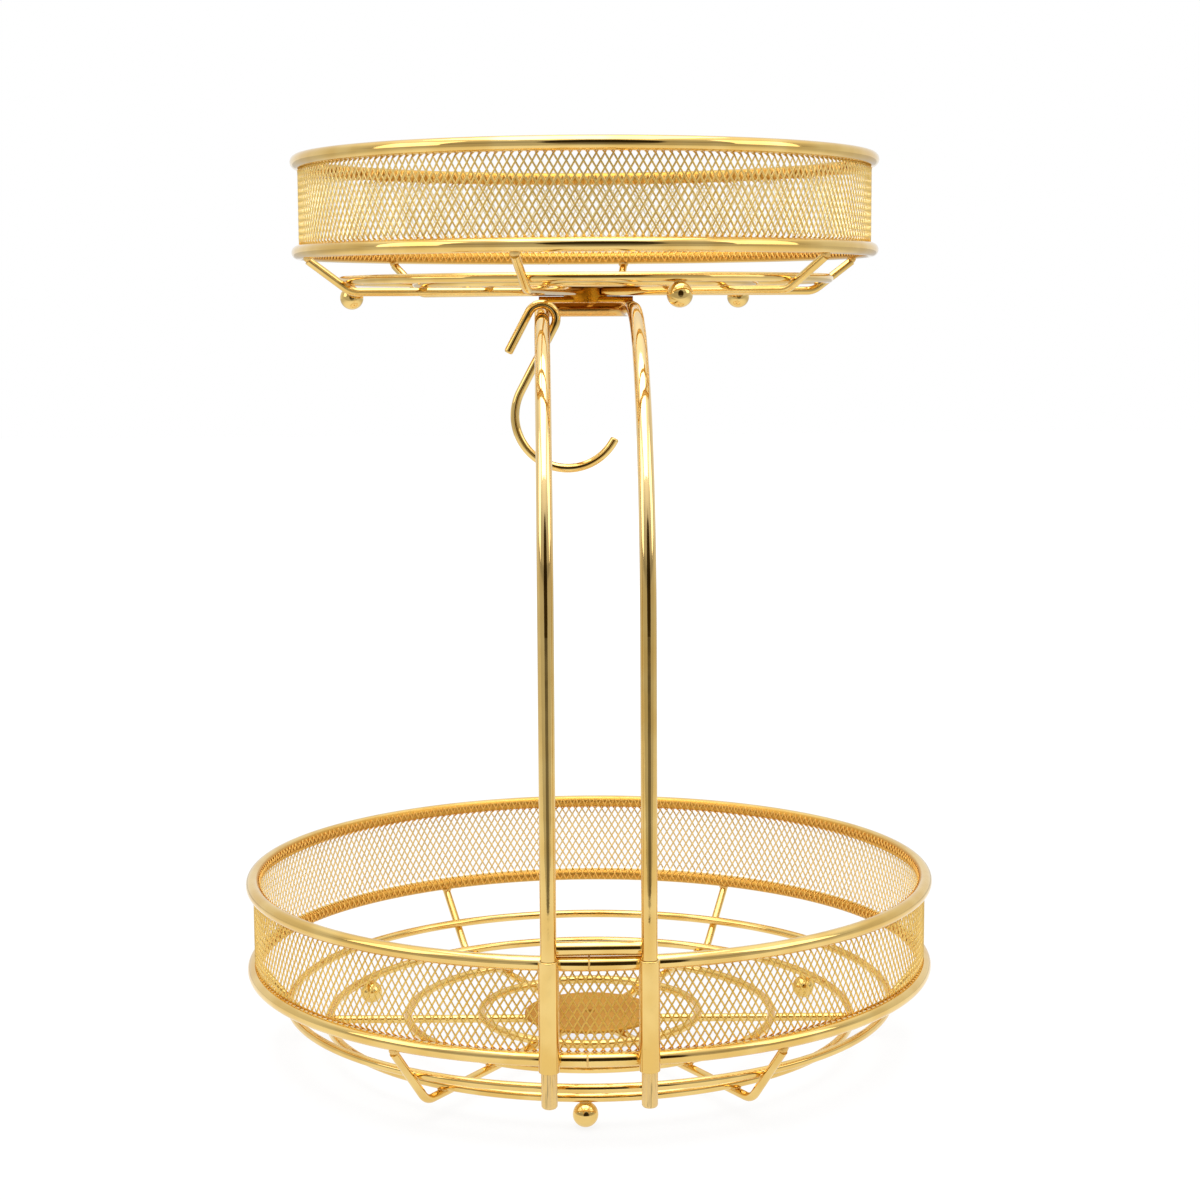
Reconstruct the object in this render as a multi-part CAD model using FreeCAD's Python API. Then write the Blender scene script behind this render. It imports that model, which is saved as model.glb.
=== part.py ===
import FreeCAD, Part
import math
import os

os.makedirs("parts", exist_ok=True)
V = FreeCAD.Vector
UP = V(0, 0, 1)

# Two round wire baskets with expanded mesh walls, one above the other on a hairpin stand
# that plugs into two sleeves on the lower basket. A hook for bananas hangs on the stand.
# All lengths are in millimetres and all angles in degrees.

# Wire and sheet gauges
rim_wire = 5.8
spoke_wire = 3.6
ring_wire = 3.8
post_wire = 6.2
crossbar_wire = 5.6
hook_wire = 3.6
mesh_sheet = 0.8
plate_sheet = 1.5

# Seats and clearances
weld_sink = 0.1
saddle_sink = 0.04
mesh_seat = 0.02
sleeve_clearance = 0.1
stop_clearance = 0.3
stack_clearance = 0.3
screw_clearance = 0.1
boss_clearance = 0.6
overrun = 2.0

# Both baskets
wall_height = 37.5
foot_diameter = 10.2
spoke_bend_radius = 9.0
spoke_inner_reach = 10.0
spoke_end_back = 2.8
spoke_rim_offset = 2.74
plate_diameter = 58.0
plate_edge_round = 0.5

# Mesh walls: rows of staggered diamond openings
mesh_columns = 44
mesh_rows = 3
mesh_strand = 2.6
mesh_margin = 2.2
mesh_edge_inset = 1.2

# Lower basket
lower_diameter = 300.0
lower_rim_height = 37.9
lower_slope_angle = 50.0
lower_slope_ring_out = 6.1
lower_floor_ring_shares = (0.9164, 0.6393, 0.3828)
lower_spoke_angles = (-1.6, 61.5, 117.5, 178.4, 237.4, 299.4)
lower_foot_angles = (28.4, 151.0, 267.7)

# Upper basket, its rim measured from the plane of its spokes
upper_diameter = 249.0
upper_rim_rise = 16.7
upper_slope_angle = 36.0
upper_slope_ring_out = 0.5
upper_floor_ring_shares = (0.6972, 0.4164)
upper_spoke_angles = (13.0, 80.0, 135.5, 199.0, 256.0, 320.5)
upper_foot_angles = (46.0, 168.0, 289.3)

# Stand
post_spacing = 38.1
post_tip_height = 20.8
post_tip_round = 1.4
arm_height = 321.5
arch_radius = 120.0
hairpin_corner_radius = 9.0
hairpin_overhang = 20.0
sleeve_diameter = 8.0
sleeve_edge = 0.4
crossbar_overlap = 2.4
saddle_length = 40.0
saddle_width = 16.0
saddle_sheet = 2.5
saddle_edge_round = 1.2

# Screw that holds the upper basket on the stand
screw_diameter = 4.0
screw_head_diameter = 8.4
screw_head_height = 2.8
screw_head_round = 1.6

# Banana hook, set on the left arm
hook_setback = 90.7
hook_lean = 27.8
hook_loop_radius = 5.8
hook_free_leg = 18.5
hook_shank = 29.7
hook_bowl_radius = 21.3
hook_bowl_sweep = 182.0
hook_tip_round = 0.9

# Worked-out places
lower_rim_radius = (lower_diameter - rim_wire) / 2
upper_rim_radius = (upper_diameter - rim_wire) / 2
lower_ring_height = foot_diameter + ring_wire / 2 - weld_sink
lower_spoke_height = lower_ring_height - (ring_wire + spoke_wire) / 2 + weld_sink
saddle_low = arm_height + post_wire / 2 - saddle_sink
upper_spoke_height = saddle_low + saddle_sheet + stack_clearance + spoke_wire / 2
upper_ring_height = upper_spoke_height + (ring_wire + spoke_wire) / 2 - weld_sink
upper_rim_height = upper_spoke_height + upper_rim_rise
upper_plate_top = upper_spoke_height + spoke_wire / 2 + plate_sheet
plate_hole_radius = screw_diameter / 2 + screw_clearance
sleeve_reach = (lower_diameter + sleeve_diameter) / 2 - weld_sink
post_reach = math.sqrt(sleeve_reach ** 2 - (post_spacing / 2) ** 2)
lower_top = lower_rim_height + wall_height + rim_wire / 2

# The origin lies on the floor, under the middle of the whole outline
origin_shift = (post_reach + sleeve_diameter / 2 - lower_diameter / 2) / 2


def save(shape, node):
    """Write one piece to its own file, moved into the frame of the whole part."""
    shape.translated(V(0, origin_shift, 0)).exportStep("parts/" + node + ".step")


def turned(shape, angle):
    """A copy turned about the vertical axis of the baskets."""
    copy = shape.copy()
    copy.rotate(V(0, 0, 0), UP, angle)
    return copy


def wire_ring(radius, wire, height):
    return Part.makeTorus(radius, wire / 2, V(0, 0, height))


def bent_path(corners, radii):
    """Straight runs through the corners, each inner corner rounded by its own radius."""
    edges = []
    start = corners[0]
    for before, corner, after, radius in zip(corners, corners[1:], corners[2:], radii):
        incoming = (corner - before).normalize()
        outgoing = (after - corner).normalize()
        half_turn = incoming.getAngle(outgoing) / 2
        reach = radius * math.tan(half_turn)
        entry = corner - incoming * reach
        leave = corner + outgoing * reach
        inward = (outgoing - incoming).normalize()
        middle = corner + inward * (radius / math.cos(half_turn) - radius)
        edges.append(Part.LineSegment(start, entry).toShape())
        edges.append(Part.Arc(entry, middle, leave).toShape())
        start = leave
    edges.append(Part.LineSegment(start, corners[-1]).toShape())
    return edges


def swept_wire(edges, wire):
    """Round wire along a path of tangent edges."""
    path = Part.Wire(edges)
    first = edges[0]
    tangent = first.tangentAt(first.FirstParameter)
    start = first.valueAt(first.FirstParameter)
    profile = Part.Wire([Part.Circle(start, tangent, wire / 2).toShape()])
    return path.makePipeShell([profile], True, False)


def round_ends(shape, radius):
    """Round the two cut ends of a swept wire."""
    ends = [face for face in shape.Faces if face.Surface.TypeId == "Part::GeomPlane"]
    edges = [edge for face in ends for edge in face.Edges]
    return shape.makeFillet(radius, edges)


def bend_reach(rim_radius, rim_rise, slope):
    """How far out the spokes bend, so that their slanted part passes just outside the rim's centre."""
    rise = math.radians(slope)
    run = (rim_rise * math.cos(rise) - spoke_rim_offset) / math.sin(rise)
    return rim_radius - run


def spoke(rim_radius, rim_height, spoke_height, bend, slope):
    """A spoke along +X: flat under the plate, bent up and coped onto the rim's underside."""
    rise = math.radians(slope)
    along = V(math.cos(rise), 0, math.sin(rise))
    corner = V(bend, 0, spoke_height)
    rim_centre = V(rim_radius, 0, rim_height)
    top = corner + along * ((rim_centre - corner).dot(along) - spoke_end_back)
    inner = V(spoke_inner_reach, 0, spoke_height)
    bar = swept_wire(bent_path([inner, corner, top], [spoke_bend_radius]), spoke_wire)
    return bar.cut(wire_ring(rim_radius, rim_wire, rim_height))


def slope_ring_height(ring_radius, spoke_height, bend, slope):
    """Height at which a ring of this radius lies on the inside of the slanted spokes."""
    rise = math.radians(slope)
    stand_off = (ring_wire + spoke_wire) / 2 - weld_sink
    run = (ring_radius - bend + stand_off * math.sin(rise)) / math.cos(rise)
    return spoke_height + run * math.sin(rise) + stand_off * math.cos(rise)


def centre_plate(bottom):
    """The round plate on the spokes' inner ends, with its screw hole."""
    disc = Part.makeCylinder(plate_diameter / 2, plate_sheet, V(0, 0, bottom))
    rims = [edge for edge in disc.Edges if edge.Closed]
    disc = disc.makeFillet(plate_edge_round, rims)
    hole = Part.makeCylinder(plate_hole_radius, plate_sheet + 2 * overrun, V(0, 0, bottom - overrun))
    return disc.cut(hole)


def foot(ring_radius, ring_height):
    """A ball welded under a ring."""
    reach = (ring_wire + foot_diameter) / 2 - weld_sink
    return Part.makeSphere(foot_diameter / 2, V(ring_radius, 0, ring_height - reach))


def prism(corners, depth):
    """A flat outline pushed straight out along +X."""
    return Part.Face(Part.makePolygon(corners + corners[:1])).extrude(V(depth, 0, 0))


def mesh_wall(rim_radius, rim_height):
    """A band of sheet inside both rims, opened by staggered diamonds, halved along its edges."""
    outside = rim_radius - rim_wire / 2 - mesh_seat
    low = rim_height - rim_wire / 2 + mesh_edge_inset
    high = rim_height + wall_height + rim_wire / 2 - mesh_edge_inset
    band = Part.makeCylinder(outside, high - low, V(0, 0, low))
    band = band.cut(Part.makeCylinder(outside - mesh_sheet, high - low + 2 * overrun, V(0, 0, low - overrun)))
    pitch = 2 * math.pi * outside / mesh_columns
    row_pitch = (high - low - 2 * mesh_margin) / (mesh_rows + 1)
    slant = math.hypot(pitch / 2, row_pitch)
    half_wide = pitch / 2 - mesh_strand / 2 * slant / row_pitch
    half_high = row_pitch - mesh_strand / 2 * slant / (pitch / 2)
    depth = mesh_sheet + 2 * overrun
    start = outside - depth + overrun
    right = V(start, half_wide, 0)
    left = V(start, -half_wide, 0)
    top = V(start, 0, half_high)
    bottom = V(start, 0, -half_high)
    diamond = prism([right, top, left, bottom], depth)
    upper_half = prism([right, top, left], depth)
    lower_half = prism([right, left, bottom], depth)
    openings = [upper_half] + [diamond] * mesh_rows + [lower_half]
    cutters = []
    for row, opening in enumerate(openings):
        level = opening.translated(V(0, 0, low + mesh_margin + row_pitch * row))
        for column in range(mesh_columns):
            cutters.append(turned(level, 360 / mesh_columns * (column + row % 2 / 2)))
    return band.cut(cutters)


def basket(name, rim_radius, rim_height, spoke_height, bend, slope, rings, spoke_angles, foot_ring,
           foot_angles):
    """One basket: rims, mesh wall, spokes, rings, plate and feet."""
    save(wire_ring(rim_radius, rim_wire, rim_height), name + "_bottom_rim")
    save(wire_ring(rim_radius, rim_wire, rim_height + wall_height), name + "_top_rim")
    save(mesh_wall(rim_radius, rim_height), name + "_mesh_wall")
    bar = spoke(rim_radius, rim_height, spoke_height, bend, slope)
    for index, angle in enumerate(spoke_angles):
        save(turned(bar, angle), name + "_spoke_%d" % (index + 1))
    for index, (radius, height) in enumerate(rings):
        save(wire_ring(radius, ring_wire, height), name + "_floor_ring_%d" % (index + 1))
    save(centre_plate(spoke_height + spoke_wire / 2), name + "_centre_plate")
    ball = foot(*foot_ring)
    for index, angle in enumerate(foot_angles):
        save(turned(ball, angle), name + "_foot_%d" % (index + 1))


# Rings as pairs of radius and height: the first on the slanted spokes, the others on the flat floor,
# where each keeps its share of the way out to the bend
lower_bend = bend_reach(lower_rim_radius, lower_rim_height - lower_spoke_height, lower_slope_angle)
lower_slope_ring = lower_bend + lower_slope_ring_out
lower_slope_height = slope_ring_height(lower_slope_ring, lower_spoke_height, lower_bend, lower_slope_angle)
lower_rings = [(lower_slope_ring, lower_slope_height)]
lower_rings += [(lower_bend * share, lower_ring_height) for share in lower_floor_ring_shares]
upper_bend = bend_reach(upper_rim_radius, upper_rim_rise, upper_slope_angle)
upper_slope_ring = upper_bend + upper_slope_ring_out
upper_slope_height = slope_ring_height(upper_slope_ring, upper_spoke_height, upper_bend, upper_slope_angle)
upper_rings = [(upper_slope_ring, upper_slope_height)]
upper_rings += [(upper_bend * share, upper_ring_height) for share in upper_floor_ring_shares]

# The lower feet hang under the first ring of the floor, the upper ones under the slanted spokes' ring
basket("lower", lower_rim_radius, lower_rim_height, lower_spoke_height, lower_bend, lower_slope_angle,
       lower_rings, lower_spoke_angles, lower_rings[1], lower_foot_angles)
basket("upper", upper_rim_radius, upper_rim_height, upper_spoke_height, upper_bend, upper_slope_angle,
       upper_rings, upper_spoke_angles, upper_rings[0], upper_foot_angles)

# Sleeves: short tubes welded to the outside of the lower basket's rims
sleeve_low = lower_rim_height - rim_wire / 2
sleeve_length = lower_top - sleeve_low
sleeve_bore = post_wire / 2 + sleeve_clearance
for side, node in ((-1, "left_sleeve"), (1, "right_sleeve")):
    foot_point = V(side * post_spacing / 2, -post_reach, sleeve_low)
    tube = Part.makeCylinder(sleeve_diameter / 2, sleeve_length, foot_point)
    ends = [edge for edge in tube.Edges if edge.Closed]
    tube = tube.makeFillet(sleeve_edge, ends)
    bore = Part.makeCylinder(sleeve_bore, sleeve_length + 2 * overrun, foot_point - UP * overrun)
    save(tube.cut(bore), node)

# Hairpin: one wire, up both posts, back over the arch and round under the upper basket
half_spacing = post_spacing / 2
hairpin_corners = [
    V(half_spacing, -post_reach, post_tip_height),
    V(half_spacing, -post_reach, arm_height),
    V(half_spacing, hairpin_overhang, arm_height),
    V(-half_spacing, hairpin_overhang, arm_height),
    V(-half_spacing, -post_reach, arm_height),
    V(-half_spacing, -post_reach, post_tip_height),
]
hairpin_radii = [arch_radius, hairpin_corner_radius, hairpin_corner_radius, arch_radius]
hairpin = swept_wire(bent_path(hairpin_corners, hairpin_radii), post_wire)
save(round_ends(hairpin, post_tip_round), "stand_hairpin")

# Crossbar: welded across the back of the posts, it stops on the lower basket's top rim
crossbar_length = post_spacing + 2 * crossbar_overlap
crossbar_back = (post_wire + crossbar_wire) / 2 - weld_sink - post_reach
crossbar_height = lower_top + crossbar_wire / 2 + stop_clearance
crossbar = Part.makeCylinder(crossbar_wire / 2, crossbar_length,
                             V(-crossbar_length / 2, crossbar_back, crossbar_height), V(1, 0, 0))
save(crossbar, "stand_crossbar")

# Saddle: a strip welded across the top of both arms. A round boss on it, between the spokes'
# inner ends, carries the upper basket's plate and has the thread for the screw.
saddle = Part.makeBox(saddle_length, saddle_width, saddle_sheet,
                      V(-saddle_length / 2, -saddle_width / 2, saddle_low))
long_edges = [edge for edge in saddle.Edges if edge.BoundBox.XLength > saddle_width]
saddle = saddle.makeFillet(saddle_edge_round, long_edges)
boss_radius = spoke_inner_reach - boss_clearance
boss_top = upper_plate_top - plate_sheet - stack_clearance
boss = Part.makeCylinder(boss_radius, boss_top - saddle_low, V(0, 0, saddle_low))
saddle_hole = Part.makeCylinder(screw_diameter / 2, boss_top - saddle_low + 2 * overrun,
                                V(0, 0, saddle_low - overrun))
save(saddle.fuse(boss).removeSplitter().cut(saddle_hole), "saddle_strip")

# Screw: head above the upper plate, shank down through the saddle
screw_head_low = upper_plate_top + stack_clearance
shank = Part.makeCylinder(screw_diameter / 2, screw_head_low - saddle_low, V(0, 0, saddle_low))
head = Part.makeCylinder(screw_head_diameter / 2, screw_head_height, V(0, 0, screw_head_low))
crown = [edge for edge in head.Edges if edge.Closed and edge.BoundBox.ZMin > screw_head_low]
save(shank.fuse(head.makeFillet(screw_head_round, crown)), "clamp_screw")

# Banana hook: a loop over the left arm, a free leg, and a shank ending in an open bowl
hook_plane = hook_setback - post_reach
arm_drop = arch_radius - math.sqrt(arch_radius ** 2 - (arch_radius - hook_setback) ** 2)
hook_centre = V(-half_spacing, hook_plane, arm_height - arm_drop)
lean = math.radians(hook_lean)
down = V(-math.sin(lean), 0, -math.cos(lean))
outward = V(-math.cos(lean), 0, math.sin(lean))
leg_top = hook_centre + outward * hook_loop_radius
leg_end = leg_top + down * hook_free_leg
shank_top = hook_centre - outward * hook_loop_radius
shank_end = shank_top + down * hook_shank
bowl_centre = shank_end - outward * hook_bowl_radius


def on_bowl(share):
    """A point of the bowl, from its start on the shank to its free tip."""
    turn = math.radians(hook_bowl_sweep) * share
    return bowl_centre + (outward * math.cos(turn) + down * math.sin(turn)) * hook_bowl_radius


hook_edges = [
    Part.LineSegment(leg_end, leg_top).toShape(),
    Part.Arc(leg_top, hook_centre - down * hook_loop_radius, shank_top).toShape(),
    Part.LineSegment(shank_top, shank_end).toShape(),
    Part.Arc(shank_end, on_bowl(1 / 2), on_bowl(1)).toShape(),
]
save(round_ends(swept_wire(hook_edges, hook_wire), hook_tip_round), "banana_hook")
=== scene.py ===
import math

import bmesh
import bpy
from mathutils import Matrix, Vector


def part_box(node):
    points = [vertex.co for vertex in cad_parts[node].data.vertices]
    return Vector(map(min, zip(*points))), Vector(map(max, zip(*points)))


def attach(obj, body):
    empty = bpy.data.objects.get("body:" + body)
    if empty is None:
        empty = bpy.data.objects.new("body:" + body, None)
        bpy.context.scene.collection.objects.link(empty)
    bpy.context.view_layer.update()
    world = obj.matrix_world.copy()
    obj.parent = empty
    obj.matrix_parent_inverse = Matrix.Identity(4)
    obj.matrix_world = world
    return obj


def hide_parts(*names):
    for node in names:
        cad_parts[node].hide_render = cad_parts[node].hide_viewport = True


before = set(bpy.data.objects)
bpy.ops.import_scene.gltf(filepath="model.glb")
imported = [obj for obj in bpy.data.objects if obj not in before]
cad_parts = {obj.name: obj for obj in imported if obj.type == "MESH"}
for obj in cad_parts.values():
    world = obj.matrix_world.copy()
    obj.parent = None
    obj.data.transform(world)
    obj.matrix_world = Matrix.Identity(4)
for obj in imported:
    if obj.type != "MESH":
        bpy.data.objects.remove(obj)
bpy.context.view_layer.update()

scene = bpy.context.scene
scene.view_settings.view_transform = "Standard"

# Sizes of the basket in metres, the same as in the solids
MM = 0.001
AXIS_Y = 3.358 * MM
RIM_WIRE = 5.8 * MM
RING_WIRE = 3.8 * MM
POST_WIRE = 6.2 * MM
POST_X = 19.05 * MM
POST_Y = -149.358 * MM
WALL = 37.5 * MM
SLEEVE_RADIUS = 4.0 * MM
CROSSBAR_HEIGHT = 81.4 * MM
SADDLE_HALF_WIDTH = 8.0 * MM
SADDLE_WELD_HEIGHT = 324.5 * MM

# The clamp screw, with the cross recess that its solid leaves out
SCREW = {
    "shank": 2.0 * MM,
    "head": 4.2 * MM,
    "head_height": 2.8 * MM,
    "crown": 1.6 * MM,
    "crown_steps": 8,
    "tip": 0.4 * MM,
    "sides": 48,
    "recess_mouth": (2.3 * MM, 0.62 * MM),
    "recess_floor": (1.1 * MM, 0.34 * MM),
    "recess_depth": 1.8 * MM,
    "recess_overcut": 0.2 * MM,
    "recess_turn": 20,
    "recess_shade": (0.03 * MM, 0.30 * MM),
    "recess_fade": 0.15 * MM,
    "sharp_angle": 35,
}

# The two baskets. Angles are in degrees round the axis. A seam has its lift above the bottom rim first.
LOWER = {
    "body": "lower_basket",
    "rim_radius": 147.1 * MM,
    "rim_height": 37.9 * MM,
    "spoke_height": 8.4 * MM,
    "bend": 125.9 * MM,
    "slope": 50.0,
    "slope_ring": (132.0 * MM, 21.27 * MM),
    "rings": (115.4 * MM, 80.5 * MM, 48.2 * MM),
    "ring_height": 12.0 * MM,
    "spokes": (-1.6, 61.5, 117.5, 178.4, 237.4, 299.4),
    "foot_ring": (115.4 * MM, 12.0 * MM),
    "feet": (28.4, 151.0, 267.7),
    "seams": ((WALL, 268.6), (0.0, 268.3)),
    "strands": 278,
    "strand_width": 0.70 * MM,
    "mesh_pale": (0.92, 0.62, 0.16),
    "mesh_deep": (0.85, 0.54, 0.11),
}
UPPER = {
    "body": "upper_basket",
    "rim_radius": 121.6 * MM,
    "rim_height": 345.86 * MM,
    "spoke_height": 329.16 * MM,
    "bend": 103.3 * MM,
    "slope": 36.0,
    "slope_ring": (103.8 * MM, 333.97 * MM),
    "rings": (72.0 * MM, 43.0 * MM),
    "ring_height": 332.76 * MM,
    "spokes": (13.0, 80.0, 135.5, 199.0, 256.0, 320.5),
    "foot_ring": (103.8 * MM, 333.97 * MM),
    "feet": (46.0, 168.0, 289.3),
    "seams": ((0.0, 97.0),),
    "strands": 236,
    "strand_width": 0.74 * MM,
    "mesh_pale": (0.95, 0.69, 0.24),
    "mesh_deep": (0.88, 0.61, 0.18),
}
BASKETS = (("lower", LOWER), ("upper", UPPER))

# What the mesh of both walls shares: the strands are wider where they cross and where they lie on a rim
MESH_ROWS = 15
MESH_EDGE = 1.2 * MM
MESH_INSET = 0.5 * MM
STRAND_DEPTH = 0.24 * MM
STRAND_TILT = 0.35
STRAND_HEM = 0.15
STRAND_CROSSING = 1.15
STRAND_NECKING = -0.30
STRAND_STAND_OFF = 1.5
STRAND_HEM_START = 0.35

# Half sizes of the weld beads in millimetres: along the weld, then the two ways across it
BEAD = {
    "spoke end": (2.3, 1.8, 1.8),
    "slope ring": (1.9, 1.2, 1.2),
    "floor ring": (1.9, 1.7, 0.75),
    "foot": (2.5, 1.6, 0.8),
    "sleeve": (2.2, 0.9, 2.0),
    "crossbar": (1.9, 0.8, 1.8),
    "saddle": (1.8, 1.0, 0.8),
}
BEAD_LUMP = 0.25
SPOKE_END_SETBACK = 2.8 * MM

# The swollen band of a rim's butt seam
SEAM_SINK = 0.3 * MM
SEAM_BAND = 0.5 * MM
SEAM_SIDES = 28
SEAM_BAND_SIDES = 8

# Colour and roughness of the places that differ from the plating round them
MARK = {
    "rubbed tip": ((0.80, 0.56, 0.24), 0.34),
    "tip scratch": ((0.34, 0.26, 0.12), 0.42),
    # The paler colour of the posts' arch is a painted highlight
    "painted arch highlight": ((0.87, 0.63, 0.28), 0.07),
    # The darker colour of the level bend under the upper basket is painted shade
    "painted bend shade": ((0.74, 0.44, 0.13), 0.16),
    "sleeve pit": ((0.16, 0.10, 0.03), 0.40),
    # The paler colours of the mesh faces that look at the axis are painted light
    "lower inner face painted light": ((0.97, 0.76, 0.37), 0.45),
    "upper inner face painted light": ((1.0, 0.92, 0.66), 0.50),
    "hem": ((0.94, 0.58, 0.15), 0.50),
    # The darker colour of the rims' inner side under the mesh is painted shade
    "painted rim inside shade": ((0.62, 0.33, 0.06), 0.45),
    # The dark colour in the screw's recess is painted shade
    "painted screw recess shade": ((0.30, 0.17, 0.04), 0.55),
}
PALE_GOLD = (0.86, 0.61, 0.22)
DEEP_GOLD = (0.78, 0.51, 0.15)

# The plating: ranges of its noise patterns for tone and smears, and the share of grain in its ripples
TONE_RANGE = (0.35, 0.65)
SMEAR_RANGE = (0.42, 0.72)
GRAIN_SHARE = 0.035

# Distances from the middle of a rim's wire at which marks begin and end on the wall, and the painted shade on
# the rim
HEM_EDGES = (3.3 * MM, 2.5 * MM)
OPEN_EDGES = (4.1 * MM, 2.9 * MM)
RIM_INSIDE_EDGES = (2.2 * MM, 1.2 * MM)

# How far a face of the mesh points away from the axis: up to the first it counts as facing the axis and takes
# the painted light, past the last not
INNER_FACING = (-0.3, 0.0)

# Where the painted highlight on the arch and the painted shade on the bend begin and end on the stand, and
# the ranges and shares of the streaks on its tips
ARCH_HEIGHTS = (205 * MM, 255 * MM)
ARCH_DEPTHS = (-45 * MM, -15 * MM)
BEND_DEPTHS = (-15 * MM, 10 * MM)
BRUSH_STRETCH = (900.0, 900.0, 30.0)
BRUSH_RANGE = (0.3, 0.7)
BRUSH_SHARES = (0.35, 1.0)
SCRATCH_STRETCH = (1300.0, 1300.0, 60.0)
SCRATCH_RANGE = (0.54, 0.66)
SCRATCH_SHARES = (0.0, 0.7)

# Pits in the right sleeve: place and radius in millimetres
SLEEVE_PITS = (((21.2, -153.1, 61.0), 0.42), ((21.4, -153.1, 58.4), 0.32), ((17.0, -152.9, 44.6), 0.22))
PIT_CORE = 0.4
PIT_DARKNESS = 0.8

FLOAT = "NodeSocketFloat"
INTEGER = "NodeSocketInt"
COLOUR = "NodeSocketColor"
GEOMETRY = "NodeSocketGeometry"
MATERIAL = "NodeSocketMaterial"
WHITE = (1, 1, 1, 1)


def put(tree, kind, *values, **settings):
    """Add a node, set its properties and fill its inputs in order with links or plain values."""
    node = tree.nodes.new(kind)
    for name, value in settings.items():
        setattr(node, name, value)
    for socket, value in zip(node.inputs, values):
        if isinstance(value, bpy.types.NodeSocket):
            tree.links.new(value, socket)
        elif value is not None:
            socket.default_value = value
    return node


def calc(tree, operation, *values):
    """The result of a sum on numbers."""
    return put(tree, "ShaderNodeMath", *values, operation=operation).outputs[0]


def vector_calc(tree, operation, *values):
    """The node of a sum on vectors."""
    return put(tree, "ShaderNodeVectorMath", *values, operation=operation)


def spread(tree, value, low, high, to_low, to_high):
    """Map a value smoothly from one range to another."""
    node = put(tree, "ShaderNodeMapRange", value, low, high, to_low, to_high,
               interpolation_type="SMOOTHSTEP")
    return node.outputs[0]


def rising(tree, value, low, high):
    """A share that rises from none to all over a range."""
    return spread(tree, value, low, high, 0.0, 1.0)


def falling(tree, value, low, high):
    """A share that falls from all to none over a range."""
    return spread(tree, value, low, high, 1.0, 0.0)


def noise(tree, place, scale, detail, roughness):
    """The value of a noise pattern."""
    return put(tree, "ShaderNodeTexNoise", place, None, scale, detail, roughness).outputs[0]


def blend(tree, share, first, second):
    """Mix two colours by a share."""
    node = tree.nodes.new("ShaderNodeMix")
    node.data_type = "RGBA"
    for index, value in ((0, share), (6, first), (7, second)):
        if isinstance(value, bpy.types.NodeSocket):
            tree.links.new(value, node.inputs[index])
        else:
            node.inputs[index].default_value = value
    return node.outputs[2]


def new_group(name, kind, inputs, outputs):
    """A node group with named sockets, and its input and output nodes."""
    group = bpy.data.node_groups.new(name, kind)
    for label, socket in inputs:
        group.interface.new_socket(label, in_out="INPUT", socket_type=socket)
    for label, socket in outputs:
        group.interface.new_socket(label, in_out="OUTPUT", socket_type=socket)
    return group, group.nodes.new("NodeGroupInput"), group.nodes.new("NodeGroupOutput")


def place_group(tree, group, values):
    """Place a node group in a material and set its inputs."""
    node = tree.nodes.new("ShaderNodeGroup")
    node.node_tree = group
    for name, value in values.items():
        node.inputs[name].default_value = value
    return node


def object_place(tree):
    """Where a point lies on its piece."""
    return put(tree, "ShaderNodeTexCoord").outputs["Object"]


def depth_and_height(tree):
    """How far back and how high a point lies on its piece."""
    parts = put(tree, "ShaderNodeSeparateXYZ", object_place(tree))
    return parts.outputs[1], parts.outputs[2]


def from_axis(tree):
    """The level way out from the baskets' axis to a point."""
    out = vector_calc(tree, "SUBTRACT", object_place(tree), (0, AXIS_Y, 0)).outputs[0]
    return vector_calc(tree, "MULTIPLY", out, (1, 1, 0)).outputs[0]


def axis_distance(tree):
    """The distance of a point from the baskets' axis."""
    return vector_calc(tree, "LENGTH", from_axis(tree)).outputs["Value"]


def plating_group():
    """Gold plating: a slowly changing tone, faint smears in the polish and ripples of the drawn wire."""
    group, given, result = new_group(
        "Gold plating", "ShaderNodeTree",
        [("Pale gold", COLOUR), ("Deep gold", COLOUR), ("Polish", FLOAT), ("Smear", FLOAT)],
        [("Colour", COLOUR), ("Roughness", FLOAT), ("Height", FLOAT)])
    value_of = {socket.name: socket for socket in given.outputs}
    place = object_place(group)
    tone = noise(group, place, scale=45.0, detail=2.0, roughness=0.5)
    tone_share = rising(group, tone, *TONE_RANGE)
    colour = blend(group, tone_share, value_of["Deep gold"], value_of["Pale gold"])
    smear = noise(group, place, scale=260.0, detail=3.0, roughness=0.6)
    smear_share = rising(group, smear, *SMEAR_RANGE)
    rough = calc(group, "MULTIPLY_ADD", smear_share, value_of["Smear"], value_of["Polish"])
    ripple = noise(group, place, scale=110.0, detail=1.0, roughness=0.4)
    grain = noise(group, place, scale=1900.0, detail=2.0, roughness=0.5)
    height = calc(group, "MULTIPLY_ADD", grain, GRAIN_SHARE, ripple)
    for name, value in (("Colour", colour), ("Roughness", rough), ("Height", height)):
        group.links.new(value, result.inputs[name])
    return group


def wall_places_group():
    """Places on a mesh wall: its hem on the rims, and the open part's faces that look at the axis, which take
    painted light.
    """
    group, given, result = new_group(
        "Mesh wall places", "ShaderNodeTree",
        [("Wall middle", FLOAT)],
        [("Hem", FLOAT), ("Inner faces", FLOAT)])
    height = depth_and_height(group)[1]
    level = calc(group, "ABSOLUTE", calc(group, "SUBTRACT", height, given.outputs["Wall middle"]))
    hem = rising(group, level, *(WALL / 2 - edge for edge in HEM_EDGES))
    open_part = falling(group, level, *(WALL / 2 - edge for edge in OPEN_EDGES))
    way = vector_calc(group, "NORMALIZE", from_axis(group)).outputs[0]
    normal = put(group, "ShaderNodeTexCoord").outputs["Normal"]
    facing = vector_calc(group, "DOT_PRODUCT", normal, way).outputs["Value"]
    inner = falling(group, facing, *INNER_FACING)
    group.links.new(hem, result.inputs["Hem"])
    group.links.new(calc(group, "MULTIPLY", inner, open_part), result.inputs["Inner faces"])
    return group


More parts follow.
